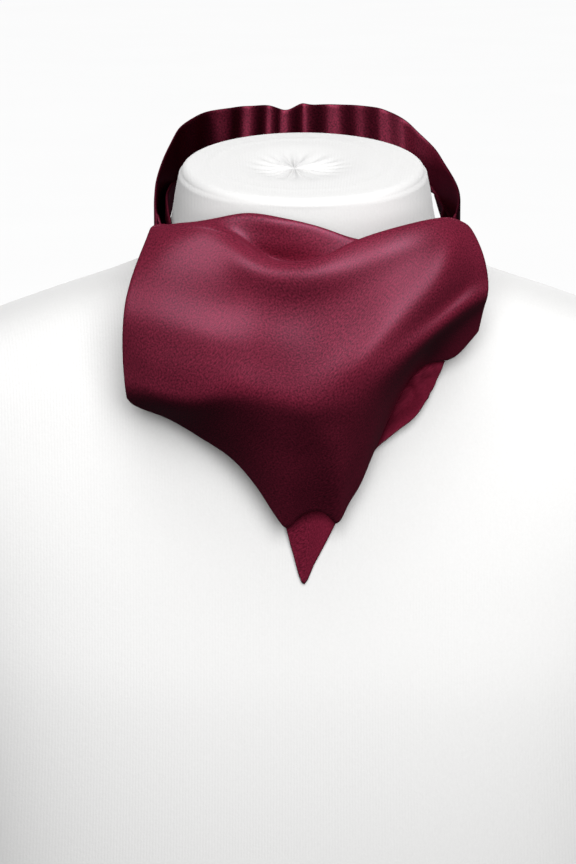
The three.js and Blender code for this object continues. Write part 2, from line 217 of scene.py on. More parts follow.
RIDGE = (
    "across x out drop",
    [
        (0, -70.6, 56, 26.5),
        (0.08, -60.1, 66.5, 24.3),
        (0.2, -43, 75.5, 22.2),
        (0.3, -30, 82, 27.2),
        (0.36, -21.7, 87.5, 31.6),
        (0.42, -12, 91, 35.1),
        (0.5, 0, 92, 34.8),
        (0.57, 10, 90, 32.6),
        (0.66, 24, 84, 26.7),
        (0.76, 43.1, 79, 21.3),
        (0.88, 59.7, 70, 18.4),
        (0.94, 67.3, 63, 18.7),
        (1, 74.2, 56, 23),
    ],
)
BEND = (
    "across x out drop",
    [
        (0, -80.5, 77, 55.8),
        (0.1, -66.7, 85, 56.7),
        (0.2, -53.9, 91, 58.3),
        (0.32, -37, 97, 59.8),
        (0.45, -18, 103, 61),
        (0.58, 2, 105, 61),
        (0.7, 22, 104, 57),
        (0.8, 41.9, 98.5, 47.4),
        (0.9, 62.7, 86.5, 37.7),
        (1, 81.3, 67, 34.7),
    ],
)
BELLY = (
    "across x out drop",
    [
        (0, -81, 81, 86.5),
        (0.1, -68.8, 91, 91.3),
        (0.22, -47.9, 103, 91.7),
        (0.35, -26.9, 112.5, 92),
        (0.48, -5, 116, 93.3),
        (0.6, 12, 116, 93.3),
        (0.7, 25.9, 112.5, 88.7),
        (0.8, 42.3, 103, 76.5),
        (0.9, 62.8, 88, 61.4),
        (1, 83.5, 70, 48.4),
    ],
)
HEM = (
    "across x out drop",
    [
        (0, -79.8, 77, 98.2),
        (0.04, -75.8, 77.5, 101.9),
        (0.12, -61.9, 79, 107.2),
        (0.22, -46.8, 82, 115.7),
        (0.32, -32, 87, 125),
        (0.4, -21.2, 90, 137),
        (0.46, -12, 92, 151),
        (0.485, -8, 92.5, 155.6),
        (0.51, -4.2, 93.5, 152.2),
        (0.54, -0.4, 94.5, 149),
        (0.565, 4, 95, 147.5),
        (0.59, 7.6, 95, 147.4),
        (0.61, 10.6, 94, 149.4),
        (0.635, 15, 92, 153.6),
        (0.68, 20, 90, 145),
        (0.73, 25.5, 88, 136),
        (0.79, 32, 84.5, 120.5),
        (0.87, 45, 76.5, 93.5),
        (0.92, 54.9, 73, 84.1),
        (0.97, 68.8, 68, 81.2),
        (1, 79.7, 66, 69.4),
    ],
)
# How far the top blade's flap bulges between its belly and its hem; a shallower flap bulges less
FLAP_BULGE = 1.5
FLAP_DEPTH = 50

# The narrow upper parts of the blades: width, out at the middle, how far the sides curve back, and drop
TOP_ROOT = (58, 62.8, 9.6, 64)
TOP_THROAT = (60, 63.6, 13, 41)
UNDER_TOP = (58, 71.4, 10, 46)
UNDER_FALL = (72.5, 72.2, 20, 60)

# Lines across the under blade; lift is how far it lies above the form
UNDER_SIDE = (
    "across x drop lift",
    [(0, -60, 78, 3), (0.25, -32, 78, 5), (0.5, 2, 80, 7), (0.75, 36, 80, 6), (1, 65, 80, 3.5)],
)
UNDER_HEM = (
    "across x drop lift",
    [
        (0, -57, 89, 2.5),
        (0.12, -46, 103, 2.5),
        (0.24, -32, 114, 2.5),
        (0.34, -19, 131, 2),
        (0.43, -8.8, 155, 1),
        (0.47, -4.9, 168.5, 0.5),
        (0.5, -0.2, 182.3, 0),
        (0.53, 4.9, 173.5, 0),
        (0.58, 12, 160.5, 0.5),
        (0.63, 17.4, 150, 1),
        (0.72, 26, 134, 1.5),
        (0.79, 32.6, 123, 2),
        (0.87, 42.4, 114.5, 2.5),
        (0.94, 51.8, 107, 3),
        (1, 60, 94.5, 3),
    ],
)

# Soft folds, each along a smooth curve over the cloth: a ridge, or a trough where height is below zero
TOP_FOLDS = (
    (
        "at x drop height width",
        [(0, 67, 24, 0, 4), (1, 65.5, 35, 1.6, 5), (2, 58.5, 46.5, 1.8, 6), (3, 48, 56, 2, 6.5),
         (4, 36, 66, 2.8, 7), (5, 23, 77, 3.4, 8), (6, 9, 87, 2.4, 9), (7, -5, 94, 0, 10)],
    ),
    (
        "at x drop height width",
        [(0, 76, 39, 0, 4), (1, 73.5, 46.5, -1, 4), (2, 67, 52.5, -1.6, 4), (3, 58, 59.5, -1.2, 4),
         (4, 48, 66.5, 0, 4)],
    ),
    (
        "at x drop height width",
        [(0, 88, 50.5, 3.6, 4.5), (1, 76, 54.5, 4.4, 5), (2, 64, 62, 4.8, 5.5), (3, 52.5, 70, 4.4, 6),
         (4, 39, 79.5, 2.8, 7), (5, 25, 88.5, 0, 7)],
    ),
    (
        "at x drop height width",
        [(0, -86, 60, 1.8, 10), (1, -70, 61, 2.4, 10), (2, -54, 63, 2.8, 10), (3, -40, 65, 3, 10),
         (4, -26, 66, 2.6, 10), (5, -12, 67, 1.6, 10), (6, 4, 68, 0, 10)],
    ),
    (
        "at x drop height width",
        [(0, -64, 31, 0, 12), (1, -50, 29, -1.8, 12), (2, -38, 28, -1.8, 11), (3, -26, 31, 0, 10)],
    ),
    (
        "at x drop height width",
        [(0, -86, 92, 4.2, 7), (1, -72, 95.5, 5.2, 7), (2, -59, 98, 5.2, 7), (3, -48, 97.5, 4, 7),
         (4, -37, 93, 1.2, 6.5), (5, -22, 91, 0.8, 7), (6, -8, 94, 1, 7), (7, 6, 97, 1.2, 7),
         (8, 20, 94, 0.8, 7), (9, 34, 84, 0, 7)],
    ),
    (
        "at x drop height width",
        [(0, -34, 30, 0, 7), (1, -20, 36.5, 3, 8), (2, -5, 39.5, 4, 9), (3, 12, 38.5, 3.6, 8.5),
         (4, 28, 33, 2, 7), (5, 46, 27.5, 1, 5), (6, 60, 24, 0, 4)],
    ),
    (
        "at x drop height width",
        [(0, -2, 100, 0, 9), (1, 10, 112, 1.6, 8), (2, 13, 128, 1.8, 8), (3, 12, 146, 1, 8)],
    ),
)
SCOOP_FOLDS = (
    (
        "at x drop height width",
        [(0, -36, 24, 0, 4), (1, -31, 20.8, 0.3, 4), (2, -22, 19, 0.8, 4), (3, -12, 20.2, 1, 4),
         (4, -2, 23, 0, 4)],
    ),
    (
        "at x drop height width",
        [(0, -30, 31, -1, 4), (1, -21, 35, -4, 5.5), (2, -10, 38, -5.5, 6), (3, 0, 39, -3.5, 6),
         (4, 8, 39, 0, 5)],
    ),
)
UNDER_FOLDS = (
    (
        "at x drop height width",
        [(0, 38, 108, -4, 4.5), (1, 44, 102, -6.5, 5), (2, 50, 97.5, -4, 4.5), (3, 55, 94, 0, 4)],
    ),
    (
        "at x drop height width",
        [(0, 66, 85, 3, 4), (1, 57, 87, 4, 4), (2, 51.5, 90.5, 4.5, 3.6), (3, 54, 97, 3.6, 3.4),
         (4, 57, 102, 1.5, 3.5)],
    ),
    (
        "at x drop height width",
        [(0, 54, 106, 2.6, 3.4), (1, 46, 111, 3.4, 3.6), (2, 38, 118, 2.6, 3.6), (3, 32, 125, 0, 3.6)],
    ),
)


def column_of(table, name):
    """One named column of a short table, as an array."""
    names, rows = table
    return np.array([row[names.split().index(name)] for row in rows], float)


def hermite(a, b, slope_a, slope_b, t):
    """The cubic that leaves a at one slope and reaches b at the other, for t from 0 to 1."""
    s = 1 - t
    return a * (1 + 2 * t) * s * s + slope_a * t * s * s + b * t * t * (3 - 2 * t) - slope_b * t * t * s


def along(table, name, at):
    """A smooth curve through a table's column, at places given in its first column.

    Each row's slope is that of the line between its two neighbours.
    """
    keys = column_of(table, table[0].split()[0])
    values = column_of(table, name)
    low = np.maximum(np.arange(len(keys)) - 1, 0)
    high = np.minimum(np.arange(len(keys)) + 1, len(keys) - 1)
    slopes = (values[high] - values[low]) / (keys[high] - keys[low])
    at = np.asarray(at, float)
    i = np.clip(np.searchsorted(keys, at, side="right") - 1, 0, len(keys) - 2)
    span = keys[i + 1] - keys[i]
    t = np.clip((at - keys[i]) / span, 0, 1)
    return hermite(values[i], values[i + 1], slopes[i] * span, slopes[i + 1] * span, t)


def ease(t):
    """A smooth step from 0 to 1."""
    t = np.clip(t, 0, 1)
    return t * t * (3 - 2 * t)


def place(x, out, drop):
    """Places on the cloth as points of the frame, still in millimetres."""
    x, out, drop = np.broadcast_arrays(x, out, drop)
    return np.stack([x, -out, FORM_HEIGHT - drop], axis=-1).astype(float)


def narrow_line(line, side):
    """A level line across a blade's narrow part, which curves back towards its sides as a parabola."""
    width, out, curve, drop = line
    return place(side * width, out - curve * side**2, drop)


def lean(y, drop):
    """How far a ring of the neck is raised at depth y, because the neck's top leans forward."""
    return math.tan(NECK_LEAN) * y * ease(1 - drop / 40)


def ring_share(x, y, drop):
    """A point's distance from the form's axis, as a share of its own ring's."""
    at = np.clip(drop, 0, FORM_HEIGHT)
    depth = np.where(y < 0, along(FORM_RINGS, "front", at), along(FORM_RINGS, "back", at))
    power = along(FORM_RINGS, "square", at)
    across = np.abs(x / along(FORM_RINGS, "half", at)) ** power
    return (across + np.abs(y / depth) ** power) ** (1 / power)


def form_out(x, drop):
    """How far out the form's front lies at these places."""
    power = along(FORM_RINGS, "square", drop)
    across = np.minimum(1, np.abs(x / along(FORM_RINGS, "half", drop))) ** power
    return along(FORM_RINGS, "front", drop) * (1 - across) ** (1 / power)


def shoulder_drop(x, y):
    """How far below the neck's top the form's shoulder lies under these places, by halving."""
    low = np.full(np.shape(x), 20.0)
    high = np.full(np.shape(x), 150.0)
    for _ in range(30):
        middle = (low + high) / 2
        outside = ring_share(x, y, middle) > 1
        low = np.where(outside, middle, low)
        high = np.where(outside, high, middle)
    return high


def edge_steps(count, length, edge):
    """Even steps from 0 to 1, and closer ones at both ends, where the cloth's edge is rounded."""
    near = np.array([0, 0.08, 0.25, 0.55]) * edge / length
    middle = np.linspace(edge / length, 1 - edge / length, count)
    return np.concatenate([near, middle, 1 - near[::-1]])


def columns_through(knots, steps):
    """Smooth curves down the columns of knots, at steps given in knots passed.

    knots has the shape (knots, columns, 3). Each knot's slope weighs the two neighbouring spans by their
    lengths.
    """
    lengths = np.linalg.norm(np.diff(knots, axis=0), axis=2)[..., None]
    direction = np.diff(knots, axis=0) / lengths
    inner = (direction[:-1] * lengths[1:] + direction[1:] * lengths[:-1]) / (lengths[:-1] + lengths[1:])
    slopes = np.concatenate([direction[:1], inner, direction[-1:]])
    i = np.clip(steps.astype(int), 0, len(knots) - 2)
    t = (steps - i)[:, None, None]
    return hermite(knots[i], knots[i + 1], slopes[i] * lengths[i], slopes[i + 1] * lengths[i], t)


def even_across(grid, rounds):
    """Evens out a sheet across its width only: each point moves halfway to the middle of its neighbours.

    The narrow columns of the rounded edges stay.
    """
    grid = grid.copy()
    for _ in range(rounds):
        middle = (grid[:, 4:-6] + grid[:, 6:-4]) / 2
        grid[:, 5:-5] += (middle - grid[:, 5:-5]) / 2
    return grid


def relax(grid, rounds):
    """Evens out a sheet: each inner point moves halfway to the middle of its four neighbours.

    The border and the row below the first one stay.
    """
    grid = grid.copy()
    for _ in range(rounds):
        middle = (grid[:-2, 1:-1] + grid[2:, 1:-1] + grid[1:-1, :-2] + grid[1:-1, 2:]) / 4
        inner = grid[1:-1, 1:-1]
        moved = inner + (middle - inner) * 0.5
        grid[2:-1, 1:-1] = moved[1:]
    return grid


def fold_height(folds, x, drop):
    """How far soft folds raise the cloth.

    A fold is a smooth curve with a height and a width along it. Beside the curve the height falls off as
    a bell curve of the distance, exp(-(distance / width)^2), and a point takes the strongest bell.
    """
    height = np.zeros(np.shape(x))
    for fold in folds:
        at = np.linspace(0, len(fold[1]) - 1, FOLD_PLACES)[:, None, None]
        away = np.hypot(x - along(fold, "x", at), drop - along(fold, "drop", at))
        bells = along(fold, "height", at) * np.exp(-((away / along(fold, "width", at)) ** 2))
        height += bells.max(axis=0) + bells.min(axis=0)
    return height


def sheet_normals(grid):
    """The sheet's normal at each point, from its neighbours down and across."""
    down = np.gradient(grid, axis=0)
    across = np.gradient(grid, axis=1)
    normal = np.cross(down, across)
    return normal / np.maximum(np.linalg.norm(normal, axis=2, keepdims=True), 1e-9)


def run_lengths(grid, axis):
    """The distance along the cloth from the grid's first line to each point."""
    steps = np.linalg.norm(np.diff(grid, axis=axis), axis=2)
    start = np.zeros_like(steps.take([0], axis=axis))
    return np.concatenate([start, np.cumsum(steps, axis=axis)], axis=axis)


def make_mesh(name, points, faces, uv=None):
    """A new object at the origin from points in millimetres and lists of point numbers.

    uv, if given, is the UV map, in millimetres of cloth for each point. It is kept in metres.
    """
    mesh = bpy.data.meshes.new(name)
    mesh.from_pydata((np.asarray(points) * MM).tolist(), [], faces)
    mesh.polygons.foreach_set("use_smooth", np.ones(len(mesh.polygons), bool))
    if uv is not None:
        corners = np.empty(len(mesh.loops), np.int32)
        mesh.loops.foreach_get("vertex_index", corners)
        layer = mesh.uv_layers.new(name="cloth")
        layer.data.foreach_set("uv", (uv[corners] * MM).ravel())
    mesh.update()
    piece = bpy.data.objects.new(name, mesh)
    bpy.context.scene.collection.objects.link(piece)
    return piece


def grid_faces(index):
    """Four-sided faces between the neighbours of a grid of point numbers."""
    return np.stack([index[:-1, :-1], index[1:, :-1], index[1:, 1:], index[:-1, 1:]], axis=-1).reshape(-1, 4)


def cloth_shell(name, grid, thickness, edge):
    """A closed thin shell round a sheet.

    Each side lies half the thickness from the sheet. Over the last edge millimetres the two sides draw
    together as a quarter of an ellipse, and they share the points of the border.
    """
    rows, columns = grid.shape[:2]
    down = run_lengths(grid, 0)
    across = run_lengths(grid, 1)
    to_border = np.minimum(np.minimum(down, down[-1:] - down), np.minimum(across, across[:, -1:] - across))
    share = np.clip(to_border / edge, 0, 1)
    half = thickness / 2 * np.sqrt(share * (2 - share))
    offset = sheet_normals(grid) * half[..., None]
    inside = np.zeros((rows, columns), bool)
    inside[1:-1, 1:-1] = True
    front = np.arange(rows * columns).reshape(rows, columns)
    back = front.copy()
    back[inside] = rows * columns + np.arange(inside.sum())
    points = np.concatenate([(grid + offset).reshape(-1, 3), (grid - offset)[inside]])
    uv = np.stack([across, down], axis=-1)
    uv = np.concatenate([uv.reshape(-1, 2), uv[inside]])
    faces = np.concatenate([grid_faces(front), grid_faces(back)[:, ::-1]])
    return make_mesh(name, points, faces.tolist(), uv)


def band_sheet(table, puckers, mirror, at, rows, pleat):
    """A stretch of the neckband as a sheet: stations along it, and its profile from the top edge down.

    Flat, the profile hangs straight. Turned, it goes down the outer layer and up again inside to TURN_RISE
    of the height. Over the last half slot above the bottom the two layers draw together in straight lines.
    """
    side = along(table, "side", at) * mirror
    y = -along(table, "out", at)
    ahead = np.stack([np.gradient(side), np.gradient(y)], axis=-1)
    ahead /= np.linalg.norm(ahead, axis=1, keepdims=True)
    inward = np.stack([ahead[:, 1], -ahead[:, 0]], axis=-1) * mirror
    drop = along(table, "drop", at)
    turned = along(table, "turned", at)[:, None]
    slot = along(table, "slot", at)[:, None] * turned
    innermost = np.stack([side, y], axis=-1) + inward * (slot + WALL)
    floor = shoulder_drop(innermost[:, 0], innermost[:, 1]) - CLEARANCE
    reach = np.minimum(along(table, "width", at), floor - drop)[:, None]

    share = rows[None, :]
    outside = share < TURN_AT
    down = np.clip(share / TURN_AT, 0, 1)
    up = np.clip((share - TURN_AT) / (1 - TURN_AT), 0, 1)
    deep = reach * np.where(outside, down, 1 - TURN_RISE * up)
    apart = np.clip((reach - deep) / (np.maximum(slot, LEAST_SLOT) / 2), 0, 1)
    inset = slot / 2 * (1 + np.where(outside, -1, 1) * apart) + slot * TURN_LEAN * up + WALL / 2
    plain = share * reach
    depth = plain + (deep - plain) * turned

    # The puckers fan out towards the top edge, are fullest at mid height and weaken where the band turns
    distance = np.concatenate([[0], np.cumsum(np.hypot(np.diff(side), np.diff(y)))])
    fanned = distance[:, None] * (1.03 - 0.06 * share)
    ripple = along(puckers, "height", fanned) * (0.75 + 0.25 * np.sin(math.pi * share))
    ripple = ripple * (1 - 0.85 * turned)
    lengthwise = pleat * np.sin(share * PLEAT_HALF_WAVES * math.pi) * turned
    total = inset + ripple + lengthwise
    across = side[:, None] + inward[:, :1] * total
    deep_in = y[:, None] + inward[:, 1:] * total
    top_wave = band_top_wave(distance * mirror)[:, None] * (1 - share) ** 2
    return np.stack([across, deep_in, FORM_HEIGHT - drop[:, None] - depth - top_wave], axis=-1)


def band_top_wave(x):
    """How far the band's top edge sags at x from the centre-back seam.

    It is 2.4 exp(-((x + 8.5) / 5)^2) - 0.9 exp(-(x / 3.5)^2), a sag beside the seam and a rise at it.
    """
    return 2.4 * np.exp(-(((x + 8.5) / 5) ** 2)) - 0.9 * np.exp(-((x / 3.5) ** 2))


def top_blade_sheet(rows, columns):
    """The top blade: up behind the stem, over its fold at the neck, out to its belly and in to its hem."""
    across = edge_steps(columns, TOP_ACROSS, TOP_EDGE)
    side = across - 0.5

    def line(table):
        return place(along(table, "x", across), along(table, "out", across), along(table, "drop", across))

    root, throat = narrow_line(TOP_ROOT, side), narrow_line(TOP_THROAT, side)
    belly, hem = line(BELLY), line(HEM)
    tuck = (belly + hem) / 2
    tuck[:, 1] -= FLAP_BULGE * np.minimum(1, np.linalg.norm(belly - hem, axis=1) / FLAP_DEPTH)
    knots = np.stack([root, throat, line(CREST), line(DIP), line(RIDGE), line(BEND), belly, tuck, hem])
    steps = edge_steps(rows, TOP_LENGTH, TOP_EDGE) * (len(knots) - 1)
    grid = columns_through(knots, steps)
    # The hem keeps its own line, and the folds start past the dip in front and behind the ridge in the scoop
    above_hem = ease((len(knots) - 1.1 - steps) / 1.2)[:, None, None]
    grid += above_hem * (even_across(grid, 50) - grid)
    front = ease((steps - 3.6) / 0.8)[:, None]
    scoop = (ease((steps - 1.9) / 0.3) * ease((3.3 - steps) / 0.3))[:, None]
    x, drop = grid[..., 0], FORM_HEIGHT - grid[..., 2]
    grid[..., 1] -= front * fold_height(TOP_FOLDS, x, drop) + scoop * fold_height(SCOOP_FOLDS, x, drop)
    return relax(grid, 4)


def under_blade_sheet(rows, columns):
    """The under blade: from the stem down over the form's chest to its point."""
    across = edge_steps(columns, UNDER_ACROSS, UNDER_EDGE)
    side = across - 0.5

    def line(table):
        x, drop = along(table, "x", across), along(table, "drop", across)
        return place(x, form_out(x, drop) + WALL / 2 + CLEARANCE + along(table, "lift", across), drop)

    top, fall = narrow_line(UNDER_TOP, side), narrow_line(UNDER_FALL, side)
    knots = np.stack([top, fall, line(UNDER_SIDE), line(UNDER_HEM)])
    steps = edge_steps(rows, UNDER_LENGTH, UNDER_EDGE) * (len(knots) - 1)
    grid = columns_through(knots, steps)
    drop = FORM_HEIGHT - grid[..., 2]
    out = -grid[..., 1] + fold_height(UNDER_FOLDS, grid[..., 0], drop)
    grid[..., 1] = -np.maximum(out, form_out(grid[..., 0], drop) + WALL / 2 + CLEARANCE)
    return relax(grid, 3)


def form_rings(sides):
    """The display form as rings from its base to the middle of the neck's top.

    A ring is a superellipse. The base and the neck's rim are quarter circles, and the neck's top is a
    shallow dish whose jersey is gathered in towards a drawn-up opening.
    """
    base_round, rim_round = 4.0, 4.0
    angle = np.linspace(0, 2 * math.pi, sides, endpoint=False)
    cos, sin = np.cos(angle), np.sin(angle)

    def ring(drop, inset):
        power = along(FORM_RINGS, "square", drop)
        depth = np.where(sin < 0, along(FORM_RINGS, "front", drop), along(FORM_RINGS, "back", drop)) - inset
        x = (along(FORM_RINGS, "half", drop) - inset) * np.sign(cos) * np.abs(cos) ** (2 / power)
        return x, depth * np.sign(sin) * np.abs(sin) ** (2 / power)

    rings = []
    for turn in np.linspace(0, math.pi / 2, 6):
        x, y = ring(FORM_HEIGHT, base_round * (1 - math.sin(turn)))
        rings.append(np.stack([x, y, np.full(sides, base_round * (1 - math.cos(turn)))], axis=-1))
    for drop in np.concatenate([np.linspace(390, 130, 40), np.linspace(127, rim_round, 70)]):
        x, y = ring(drop, 0)
        rings.append(np.stack([x, y, FORM_HEIGHT - drop + lean(y, drop)], axis=-1))
    for turn in np.linspace(0.1, 1, 8) * math.pi / 2:
        x, y = ring(0, rim_round * (1 - math.cos(turn)))
        rings.append(np.stack([x, y, FORM_HEIGHT - rim_round * (1 - math.sin(turn)) + lean(y, 0)], axis=-1))
    rim_x, rim_y = ring(0, rim_round)
    for share in np.linspace(0.97, 0.03, 34):
        x = rim_x * share - 4 * (1 - share)
        y = rim_y * share + 2 * (1 - share)
        dish = 2.6 * ease((0.62 - share) / 0.4)
        gathers = 0.55 * np.sin(angle * 17 + 1.3 * np.sin(angle * 3))
        gathers = gathers * ease((0.5 - share) / 0.25) * ease(share / 0.1)
        seam = 0.3 * math.exp(-(((share - 0.8) / 0.03) ** 2))
        rings.append(np.stack([x, y, FORM_HEIGHT - dish + gathers + seam + lean(y, 0)], axis=-1))
    return np.array(rings)


def closed_lathe(name, rings):
    """A closed solid from rings, with a fan over each end."""
    count, sides = rings.shape[:2]
    index = np.arange(count * sides).reshape(count, sides)
    wrapped = np.concatenate([index, index[:, :1]], axis=1)
    faces = grid_faces(wrapped)[:, ::-1].tolist()
    bottom, top = count * sides, count * sides + 1
    ring = np.arange(sides)
    after = (ring + 1) % sides
    faces += np.stack([np.full(sides, bottom), after, ring], axis=1).tolist()
    last = (count - 1) * sides
    faces += np.stack([np.full(sides, top), last + ring, last + after], axis=1).tolist()
    points = np.concatenate([rings.reshape(-1, 3), [rings[0].mean(axis=0)], [rings[-1].mean(axis=0)]])
    return make_mesh(name, points, faces)


def new_group(name, inputs, outputs):
    """An empty shader node group with named sockets, and its input and output nodes."""
    group = bpy.data.node_groups.new(name, "ShaderNodeTree")
    for label, kind, value in inputs:
        socket = group.interface.new_socket(name=label, in_out="INPUT", socket_type=kind)
        if value is not None:
            socket.default_value = value
    for label, kind in outputs:
        group.interface.new_socket(name=label, in_out="OUTPUT", socket_type=kind)
    return group, group.nodes.new("NodeGroupInput"), group.nodes.new("NodeGroupOutput")


def weave_group():
    """Fine threads of cloth: a slanting rib and an uneven grain, as a height and a colour mask."""
    if "woven threads" in bpy.data.node_groups:
        return bpy.data.node_groups["woven threads"]
    group, start, end = new_group(
        "woven threads",
        [
            ("Vector", "NodeSocketVector", None),
            ("Thread", "NodeSocketFloat", 0.0006),
            ("Slant", "NodeSocketFloat", 0.6),
        ],
        [("Height", "NodeSocketFloat"), ("Grain", "NodeSocketFloat")],
    )
    link = group.links.new
    nodes = group.nodes
    scale = nodes.new("ShaderNodeMath")
    scale.operation = "DIVIDE"
    scale.inputs[0].default_value = 1.0
    link(start.outputs["Thread"], scale.inputs[1])
    sized = nodes.new("ShaderNodeVectorMath")
    sized.operation = "SCALE"
    link(start.outputs["Vector"], sized.inputs[0])
    link(scale.outputs[0], sized.inputs["Scale"])
    turned = nodes.new("ShaderNodeVectorRotate")
    turned.rotation_type = "Z_AXIS"
    link(sized.outputs[0], turned.inputs["Vector"])
    link(start.outputs["Slant"], turned.inputs["Angle"])
    ribs = nodes.new("ShaderNodeTexWave")
    ribs.inputs["Scale"].default_value = 0.5
    ribs.inputs["Distortion"].default_value = 1.2
    ribs.inputs["Detail"].default_value = 1.0
    link(turned.outputs[0], ribs.inputs["Vector"])
    grain = nodes.new("ShaderNodeTexNoise")
    grain.inputs["Scale"].default_value = 0.9
    grain.inputs["Detail"].default_value = 3.0
    link(turned.outputs[0], grain.inputs["Vector"])
    both = nodes.new("ShaderNodeMath")
    both.operation = "MULTIPLY_ADD"
    both.inputs[1].default_value = 0.6
    link(ribs.outputs["Fac"], both.inputs[0])
    link(grain.outputs["Fac"], both.inputs[2])
    link(both.outputs[0], end.inputs["Height"])
    link(grain.outputs["Fac"], end.inputs["Grain"])
    return group


def silk_material(name, colour, shade, roughness, gloss, thread_turn, metallic):
    """Burgundy satin: a smooth float face with a fine grain, whose lights are drawn out along the threads.

    thread_turn is the part of a turn from the first direction of the piece's UV map to its threads.
    """
    material = bpy.data.materials.new(name)
    material.use_nodes = True
    nodes, link = material.node_tree.nodes, material.node_tree.links.new
    shader = nodes["Principled BSDF"]
    cloth = nodes.new("ShaderNodeUVMap")
    cloth.uv_map = "cloth"
    threads = nodes.new("ShaderNodeGroup")
    threads.node_tree = weave_group()
    threads.inputs["Thread"].default_value = 0.0008
    threads.inputs["Slant"].default_value = 0.7
    link(cloth.outputs["UV"], threads.inputs["Vector"])
    clouds = nodes.new("ShaderNodeTexNoise")
    clouds.inputs["Scale"].default_value = 28
    clouds.inputs["Detail"].default_value = 2
    link(cloth.outputs["UV"], clouds.inputs["Vector"])
    mottled = nodes.new("ShaderNodeMath")
    mottled.operation = "MULTIPLY_ADD"
    mottled.inputs[1].default_value = 0.2
    link(clouds.outputs["Fac"], mottled.inputs[0])
    link(threads.outputs["Grain"], mottled.inputs[2])
    tones = nodes.new("ShaderNodeMapRange")
    tones.inputs["From Min"].default_value = 0.42
    tones.inputs["From Max"].default_value = 0.82
    link(mottled.outputs[0], tones.inputs["Value"])
    tint = nodes.new("ShaderNodeMix")
    tint.data_type = "RGBA"
    tint.inputs["A"].default_value = (*shade, 1)
    tint.inputs["B"].default_value = (*colour, 1)
    link(tones.outputs["Result"], tint.inputs["Factor"])
    link(tint.outputs["Result"], shader.inputs["Base Color"])
    dull = nodes.new("ShaderNodeMapRange")
    dull.inputs["To Min"].default_value = roughness - 0.04
    dull.inputs["To Max"].default_value = roughness + 0.06
    link(threads.outputs["Grain"], dull.inputs["Value"])
    link(dull.outputs["Result"], shader.inputs["Roughness"])
    bump = nodes.new("ShaderNodeBump")
    bump.inputs["Strength"].default_value = 0.12
    bump.inputs["Distance"].default_value = 0.00012
    link(threads.outputs["Height"], bump.inputs["Height"])
    link(bump.outputs["Normal"], shader.inputs["Normal"])
    threads_run = nodes.new("ShaderNodeTangent")
    threads_run.direction_type = "UV_MAP"
    threads_run.uv_map = "cloth"
    link(threads_run.outputs["Tangent"], shader.inputs["Tangent"])
    shader.inputs["Anisotropic"].default_value = 0.3
    shader.inputs["Anisotropic Rotation"].default_value = thread_turn
    shader.inputs["Specular IOR Level"].default_value = gloss
    shader.inputs["Specular Tint"].default_value = (0.92, 0.6, 0.84, 1)
    shader.inputs["Metallic"].default_value = metallic
    return material


def jersey_material(colour):
    """White knitted jersey: fine upright wales, a soft nap and a little unevenness."""
    material = bpy.data.materials.new("white jersey")
    material.use_nodes = True
    nodes, link = material.node_tree.nodes, material.node_tree.links.new
    shader = nodes["Principled BSDF"]
    place_on = nodes.new("ShaderNodeTexCoord")
    threads = nodes.new("ShaderNodeGroup")
    threads.node_tree = weave_group()
    threads.inputs["Thread"].default_value = 0.0011
    threads.inputs["Slant"].default_value = 0.0
    link(place_on.outputs["Object"], threads.inputs["Vector"])
    tint = nodes.new("ShaderNodeMix")
    tint.data_type = "RGBA"
    tint.inputs["A"].default_value = (*[c * 0.93 for c in colour], 1)
    tint.inputs["B"].default_value = (*colour, 1)
    link(threads.outputs["Grain"], tint.inputs["Factor"])
    link(tint.outputs["Result"], shader.inputs["Base Color"])
    bump = nodes.new("ShaderNodeBump")
    bump.inputs["Strength"].default_value = 0.25
    bump.inputs["Distance"].default_value = 0.0003
    link(threads.outputs["Height"], bump.inputs["Height"])
    link(bump.outputs["Normal"], shader.inputs["Normal"])
    shader.inputs["Roughness"].default_value = 0.9
    shader.inputs["Specular IOR Level"].default_value = 0.25
    shader.inputs["Sheen Weight"].default_value = 0.25
    return material


def plain_material(name, colour, roughness):
    """A plain studio surface with a faint unevenness."""
    material = bpy.data.materials.new(name)
    material.use_nodes = True
    nodes, link = material.node_tree.nodes, material.node_tree.links.new
    shader = nodes["Principled BSDF"]
    noise = nodes.new("ShaderNodeTexNoise")
    noise.inputs["Scale"].default_value = 3
    where = nodes.new("ShaderNodeTexCoord")
    link(where.outputs["Object"], noise.inputs["Vector"])
    tint = nodes.new("ShaderNodeMix")
    tint.data_type = "RGBA"
    tint.inputs["A"].default_value = (*[c * 0.98 for c in colour], 1)
    tint.inputs["B"].default_value = (*colour, 1)
    link(noise.outputs["Fac"], tint.inputs["Factor"])
    link(tint.outputs["Result"], shader.inputs["Base Color"])
    shader.inputs["Roughness"].default_value = roughness
    return material


def dress(piece, node, material):
    """Gives a piece its finish, and lets it stand for its solid on the one body."""
    piece.data.materials.append(material)
    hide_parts(node)
    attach(piece, "root")
    return piece


def blade_silk():
    """The satin of the blades, whose threads run down them."""
    if "blade satin" in bpy.data.materials:
        return bpy.data.materials["blade satin"]
    looks = bpy.context.scene.cravat_silk
    return silk_material("blade satin", looks.colour, looks.shade, looks.roughness, looks.gloss, 0.25, 0.12)


def band_silk_in_painted_shade():
    """The satin of the neckband: the blades' satin, a little duller, with upright threads, and with its
    colours darkened as painted shade.
    """
    if "neckband satin in painted shade" in bpy.data.materials:
        return bpy.data.materials["neckband satin in painted shade"]
    looks = bpy.context.scene.cravat_silk
    # painted shade: the same silk as the blades, with both colours darkened to 0.8 because the band stands
    # in shade
    colour = [c * 0.8 for c in looks.colour]
    shade = [c * 0.8 for c in looks.shade]
    return silk_material("neckband satin in painted shade", colour, shade, looks.roughness + 0.06, looks.gloss, 0, 0.6)


